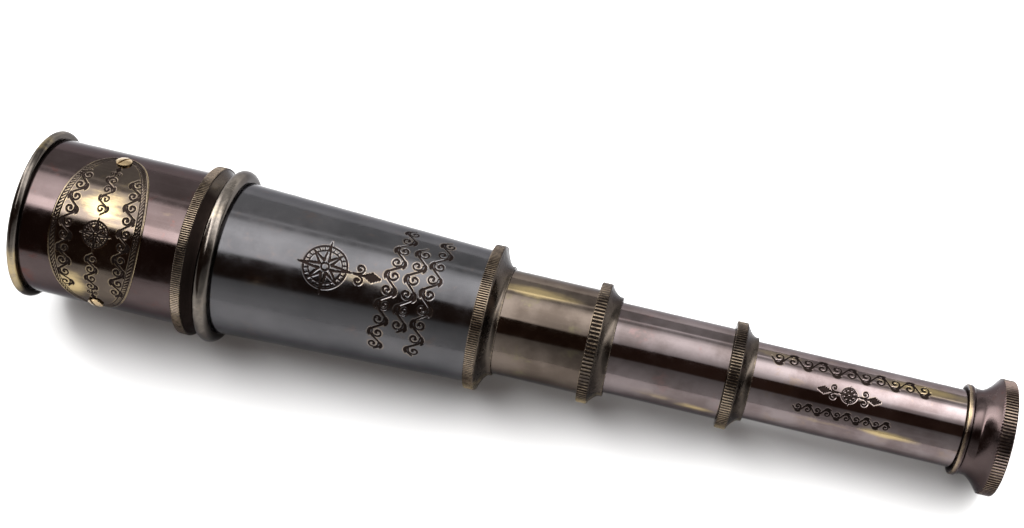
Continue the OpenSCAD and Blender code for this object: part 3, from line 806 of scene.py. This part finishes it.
def barrel_engraving():
    work = Engraving(0.13)
    work.compass(91.4, 0.0, 7.8, 0.50)
    work.fleuron(99.8, 0.0, 0, 7.4, 0.62)
    for top, bottom in (((112.2, -21.5), (108.6, 21.5)), ((117.4, -13.5), (114.8, 13.5)),
                        ((123.2, -19.5), (119.8, 21.0))):
        work.garland([top, bottom], 4.7, 4.3, 0.52)
    return work


def make_barrel():
    rows = tube_outline(barrel_x0, barrel_r, barrel_x1, BARREL_REAR_R, BARREL_WALL)
    rows = filled_in(in_window(rows, *BARREL_WINDOW), OUTLINE_STEP)

    # A narrow band behind the flange is darkened with grime and painted shade, where the flange shades the
    # barrel
    def behind_flange(x, r):
        return r > barrel_outer(x) - 0.1 and flange_x1 - 0.5 < x < flange_x1 + 0.9

    rows = [(x, r, -0.9 if behind_flange(x, r) else edge) for x, r, edge in rows]
    shape = EngravedTube(barrel_engraving(), barrel_outer, ENGRAVING_TURN)
    spots = [(72, 34, 10, 8, 0.30), (100, 16, 10, 14, 0.30)]
    angles = window_angles(ENGRAVING_TURN, *BARREL_WINDOW_TURN)
    mesh = lathe("barrel_tube_engraved", rows, angles, shape, spots)
    add_piece("barrel_tube_engraved", mesh, "barrel", "barrel_patina", "barrel_tube")


# ---------------------------------------------------------------- collars and draw tubes


def make_collar(name, node, body, foot_r, bore, lip_r, spigot_r, spigot, pitch, depth):
    """A screwed-in collar: a spigot inside its tube, a knurled band against the tube's end, and a cone."""
    x0, x1, band_r = span(node)
    x = x0 + spigot
    front = x0 + STOP_GAP
    rows = [(front, bore, 0.0), (front, spigot_r, 0.0), (x, spigot_r, 0.0)]
    rows += band_rows(x, BAND_W, band_r, foot_r)
    rows += cove(x + BAND_W + 0.05, band_r - 0.6, x1 - LIP_W, lip_r)
    rows += [(x1 - LIP_W + 0.05, lip_r, 0.0), (x1 - 0.15, lip_r, 0.35), (x1, lip_r - 0.15, 0.35),
             (x1, bore, 0.0)]
    knurl = Knurl(x + 0.05, x + BAND_W - 0.35, band_r, pitch, depth)
    mesh = lathe(name, rows, knurl.angles(), knurl, [(x + 1.5, 100, 6, 16, 0.6)])
    add_piece(name, mesh, body, "collar_patina", node)


def make_collars():
    draw_r = [span(f"draw_{k}_tube")[2] for k in (1, 2, 3)]
    bores = [r + SLIDE_GAP for r in draw_r]
    make_collar("barrel_collar_knurled", "barrel_collar", "barrel", BARREL_REAR_R, bores[0], bores[0] + 0.7,
                BARREL_REAR_R - BARREL_WALL, BARREL_SPIGOT, 0.70, 0.25)
    make_collar("draw_1_collar_knurled", "draw_1_collar", "draw_1", draw_r[0], bores[1], bores[1] + 1.3,
                draw_r[0] - DRAW_WALL, DRAW_SPIGOT, 1.15, 0.32)
    make_collar("draw_2_collar_knurled", "draw_2_collar", "draw_2", draw_r[1], bores[2], bores[2] + 0.9,
                draw_r[1] - DRAW_WALL, DRAW_SPIGOT, 0.87, 0.28)


def draw_rows(node):
    x0, x1, r = span(node)
    return tube_outline(x0, r, x1, r, DRAW_WALL)


def make_plain_draws():
    spots = {"draw_1_tube": [(150, -19, 12, 7, 0.9), (154, 76, 7, 8, 0.35)],
             "draw_2_tube": [(201, 80, 6, 7, 0.85), (190, 74, 8, 8, 0.4)]}
    for k in (1, 2):
        node = f"draw_{k}_tube"
        rows = filled_in(draw_rows(node), OUTLINE_STEP)
        mesh = lathe(f"draw_{k}_drawn_tube", rows, even_angles(240), spots=spots[node])
        add_piece(f"draw_{k}_drawn_tube", mesh, f"draw_{k}", f"draw_{k}_patina", node)


def draw_3_engraving():
    work = Engraving(0.11)
    star_u, star_v = 241.4, -0.2
    work.garland([(218.5, -7.0), (263.5, -7.0)], 4.5, 4.1, 0.56)
    work.compass(star_u, star_v, 2.7, 0.34)
    for side in (-1, 1):
        work.fleuron(star_u + side * 3.2, star_v, 90 - side * 90, 5.4, 0.46)
    work.garland([(227.0, 6.1), (254.2, 6.1)], 2.7, 2.7, 0.36)
    return work


def make_draw_3():
    outer = span("draw_3_tube")[2]
    rows = filled_in(in_window(draw_rows("draw_3_tube"), *DRAW_3_WINDOW), OUTLINE_STEP)
    shape = EngravedTube(draw_3_engraving(), lambda x: outer, ENGRAVING_TURN)
    # The first two patches lie on the upper band and partly paint in its highlight; the last two are worn
    # brass
    spots = [(222, -28, 9, 8, 0.55), (262, -26, 13, 9, 1.0), (254, 56, 9, 6, 0.95), (238, 60, 12, 5, 0.5)]
    angles = window_angles(ENGRAVING_TURN, *DRAW_3_WINDOW_TURN)
    mesh = lathe("draw_3_drawn_tube", rows, angles, shape, spots)
    add_piece("draw_3_drawn_tube", mesh, "draw_3", "draw_3_patina", "draw_3_tube")


# ---------------------------------------------------------------- eyepiece


def make_eyepiece():
    """The eyepiece cup: a ring on the draw tube, a waist, a flare to the knurled rim, and a dish behind."""
    tube_end, tube_r = span("draw_3_tube")[1:]
    seat, ring_top = tube_r - DRAW_WALL, EYE_RING_R - RING_CREST
    bore = seat - 0.75
    rim_x, flare_x, web_x = cup_x1 - EYE_RIM_W, tube_end + EYE_FLARE, tube_end + EYE_WEB
    web_back, back = web_x + EYE_WEB_T, cup_x1 - 0.2
    dish_r, floor_r = cup_r - 1.4, EYE_HOLE_R + 3.0
    rows = [(cup_x0, bore, 0.0), (cup_x0, seat, 0.0), (tube_end, seat, 0.0),
            (tube_end, tube_r + 0.1, -1.0), (tube_end, ring_top, 0.0)]
    rows += arc(tube_end + RING_CREST, ring_top, RING_CREST, 180, 90, 5, 0.9)
    rows += arc(tube_end + 1.2, EYE_RING_R - 0.4, 0.4, 90, 30, 5, 0.1)
    rows += [(tube_end + 1.95, EYE_WAIST_R + 0.25, -0.3), (tube_end + 3.0, EYE_WAIST_R, 0.0)]
    flare = cup_r - 0.35 - EYE_WAIST_R
    rows += [(flare_x + (rim_x - flare_x) * k / 18, EYE_WAIST_R + flare * (k / 18) ** 1.5, 0.0)
             for k in range(19)]
    band_x, band_end = rim_x + 0.25, cup_x1 - 0.5
    rows += [(band_x, cup_r - 0.05, 0.3)]
    rows += [(band_x + (band_end - band_x) * k / 6, cup_r, 0.2) for k in range(1, 6)]
    rows += arc(band_end, cup_r - 0.5, 0.5, 90, 0, 6, 0.5)
    rows += arc(cup_x1 - 0.15, dish_r + 0.1, 0.15, 0, -80, 3, 0.4)
    for k in range(19):
        turn = math.radians(90 * k / 18)
        rows.append((back - (back - web_back) * math.sin(turn),
                     floor_r + (dish_r - floor_r) * math.cos(turn), 0.0))
    rows += [(web_back, EYE_HOLE_R + 0.1, 0.5), (web_back - 0.1, EYE_HOLE_R, 0.5), (web_x, EYE_HOLE_R, 0.0),
             (web_x, bore, 0.0)]
    knurl = Knurl(rim_x + 0.2, cup_x1 - 0.25, cup_r, 0.92, 0.26)
    mesh = lathe("eyepiece_cup_knurled", rows, knurl.angles(), knurl, [(tube_end + 0.2, -4, 0.8, 30, 0.6)])
    add_piece("eyepiece_cup_knurled", mesh, "draw_3", "eyepiece_patina", "eyepiece_cup")


def finish_cad_nodes():
    """Gives every CAD node that still shows the procedural material of its record slot."""
    for row in frame["record"]["subparts"]:
        node = frame["nodes"][row["node"]]
        if node.hide_render:
            continue
        node.data.materials.clear()
        node.data.materials.append(MATERIALS[row["material_slot"]])


# ---------------------------------------------------------------- studio

FLOOR_SIZE = 4000.0             # from its middle to a side
FLOOR_GAP = 0.05                # between the floor and the two rings
FLOOR_COLOUR = (0.56, 0.56, 0.56)
RIM_CONTACT = 1.7               # the line the eyepiece rests on, in front of the cup's end


def make_floor():
    """A pale table under the two rings that the spyglass lies on: the barrel flange and the eyepiece rim."""
    front = Vector(((flange_x0 + flange_x1) / 2, 0, -flange_r))
    rear = Vector((cup_x1 - RIM_CONTACT, 0, -cup_r))
    along = (rear - front).normalized()
    up = Vector((-along.z, 0, along.x))
    middle = (front + rear) / 2 - up * FLOOR_GAP
    mesh = bpy.data.meshes.new("floor")
    corners = [middle + along * a * FLOOR_SIZE + Vector((0, b * FLOOR_SIZE, 0))
               for a, b in ((-1, -1), (1, -1), (1, 1), (-1, 1))]
    mesh.from_pydata([tuple(c * MM) for c in corners], [], [(0, 1, 2, 3)])
    floor = bpy.data.objects.new("floor", mesh)
    bpy.context.scene.collection.objects.link(floor)
    g = Graph(bpy.data.materials.new("floor_white"))
    g.shader(Base_Color=FLOOR_COLOUR, Roughness=0.8, Specular_IOR_Level=0.0)
    mesh.materials.append(g.material)


LAMP_AIM = (140.0, 0.0, 0.0)
LAMP_TURN = -42.0               # degrees from straight up towards -Y
LAMP_LEAN = 8.0                 # degrees towards the eyepiece
LAMP_DISTANCE = 900.0
LAMP_LENGTH = 700.0
LAMP_WIDTH = 420.0
LAMP_POWER = 14.0               # watts


def make_lamp():
    """The lamp behind the spyglass that gives the soft shadow in front of it. Metal doesn't mirror it."""
    data = bpy.data.lights.new("shadow_lamp", "AREA")
    data.shape = "RECTANGLE"
    data.size, data.size_y = LAMP_LENGTH * MM, LAMP_WIDTH * MM
    data.energy = LAMP_POWER
    lamp = bpy.data.objects.new("shadow_lamp", data)
    turn, lean = math.radians(LAMP_TURN), math.radians(LAMP_LEAN)
    out = Vector((math.sin(lean), -math.sin(turn) * math.cos(lean), math.cos(turn) * math.cos(lean)))
    lamp.location = (Vector(LAMP_AIM) + out * LAMP_DISTANCE) * MM
    lamp.rotation_mode = "QUATERNION"
    lamp.rotation_quaternion = out.to_track_quat("Z", "Y")
    lamp.visible_glossy = False
    bpy.context.scene.collection.objects.link(lamp)


# The room as the metal mirrors it. Its directions are told by turn, the angle from straight up towards -Y,
# and by lean, the angle towards +X, both in degrees. The front of the spyglass mirrors a low lean, its eye
# end a high one. An edge below is (start, end), over which a light or a dark comes in or goes out.
ROOM_STRENGTH = 1.8

# Brightness against turn
ROOM = [(-180, 0.95), (-126, 1.05), (-108, 0.95), (-97, 0.82), (-90, 0.80), (-64, 0.72), (-61, 0.72),
        (-60, 1.7), (-57, 1.7), (-56, 0.85), (-50, 0.95), (-46, 2.2), (-30, 3.0), (-8, 2.9), (6, 2.9),
        (40, 0.40), (66, 0.80), (90, 1.00), (130, 1.15), (180, 1.15)]

# What is left of that light at the draws
DRAWS = [(-180, 1.0), (-104, 1.0), (-94, 0.76), (-62, 0.76), (-60, 1.0), (-57, 1.0), (-50, 0.60),
         (-44, 0.68), (-38, 1.0), (-24, 0.95), (-14, 0.77), (-6, 0.60), (2, 0.42), (10, 0.22), (48, 0.55),
         (70, 0.58), (90, 0.68), (108, 0.78), (124, 1.0), (180, 1.0)]
DRAWS_LEAN = (-7.0, -2.0)

# The dark gap beside the overhead light: where it starts and ends, in turn
GAP_START, GAP_START_DRAWS = 6.0, 10.0
GAP_END, GAP_END_FRONT = 43.0, 68.0
GAP_COLOUR = (0.060, 0.035, 0.026)

# The front, with more overhead light and a hot edge to it
FRONT_LEAN = (-17.5, -13.5)
OVERHEAD_RISE, OVERHEAD_FALL = (-52.0, -46.0), (4.0, 8.0)
FRONT_GAIN = 0.75
HOT_RISE, HOT_FALL = (-12.0, -9.0), (3.0, 5.0)
HOT = 4.5

# The eye end, with more overhead light
EYE_END_LEAN = (2.0, 9.0)
EYE_END_RISE, EYE_END_FALL = (-44.0, -36.0), (-8.0, 4.0)
EYE_END_GAIN = 0.9

# All of it turns round by a degree for each degree of lean towards the front, up to a limit, and back
# again by more than that once the lean is far out
TURN_LIMIT = 17.0
TURN_BACK, TURN_BACK_FROM = -1.7, -30.0


def make_world():
    """A pale room with a long soft light overhead and a dark gap beside it, which change with lean."""
    world = bpy.data.worlds.new("studio")
    bpy.context.scene.world = world
    g = Graph(world, "ShaderNodeOutputWorld")
    x, y, z = g.node("ShaderNodeSeparateXYZ", Vector=g.place("Generated")).outputs
    turn = g.math("DEGREES", g.math("ARCTAN2", g.math("MULTIPLY", y, -1.0), z))
    lean = g.math("DEGREES", g.math("ARCSINE", x))
    shift = g.math("MINIMUM", g.math("MAXIMUM", g.math("MULTIPLY", lean, -1.0), 0.0), TURN_LIMIT)
    beyond = g.math("MAXIMUM", g.math("MULTIPLY_ADD", lean, TURN_BACK, TURN_BACK_FROM), 0.0)
    turn = g.math("SUBTRACT", turn, g.math("SUBTRACT", shift, beyond))
    front = g.step(lean, *FRONT_LEAN, 1.0, 0.0)
    draws = g.step(lean, *DRAWS_LEAN)
    left = g.mix(draws, (1.0, 1.0, 1.0), g.ramp(turn, DRAWS))
    room = g.math("MULTIPLY", g.ramp(turn, ROOM), left)
    overhead = g.math("MULTIPLY", g.window(turn, OVERHEAD_RISE, OVERHEAD_FALL), front)
    gain = g.math("MULTIPLY_ADD", overhead, FRONT_GAIN, 1.0)
    hot = g.math("MULTIPLY", g.math("MULTIPLY", g.window(turn, HOT_RISE, HOT_FALL), front), HOT)
    eye_end = g.math("MULTIPLY", g.step(lean, *EYE_END_LEAN), g.window(turn, EYE_END_RISE, EYE_END_FALL))
    gain = g.math("MULTIPLY_ADD", eye_end, EYE_END_GAIN, gain)
    light = g.math("MULTIPLY_ADD", room, gain, hot)
    gap_end = g.math("ADD", g.math("MULTIPLY_ADD", front, GAP_END_FRONT - GAP_END, GAP_END), beyond)
    gap_start = g.math("MULTIPLY_ADD", draws, GAP_START_DRAWS - GAP_START, GAP_START)
    gap = g.step(g.math("SUBTRACT", turn, gap_start), -1.0, 1.0)
    gap = g.math("MULTIPLY", gap, g.step(g.math("SUBTRACT", turn, gap_end), -2.0, 2.0, 1.0, 0.0))
    colour = g.node("ShaderNodeCombineXYZ", X=light, Y=light, Z=light).outputs[0]
    g.shader("ShaderNodeBackground", Color=g.mix(gap, colour, GAP_COLOUR), Strength=ROOM_STRENGTH)


make_camera()
make_shade()
make_front_bead()
make_shade_collar()
make_plate()
make_flange()
make_barrel()
make_collars()
make_plain_draws()
make_draw_3()
make_eyepiece()
finish_cad_nodes()
make_floor()
make_world()
make_lamp()
bpy.context.scene.view_settings.view_transform = "Standard"
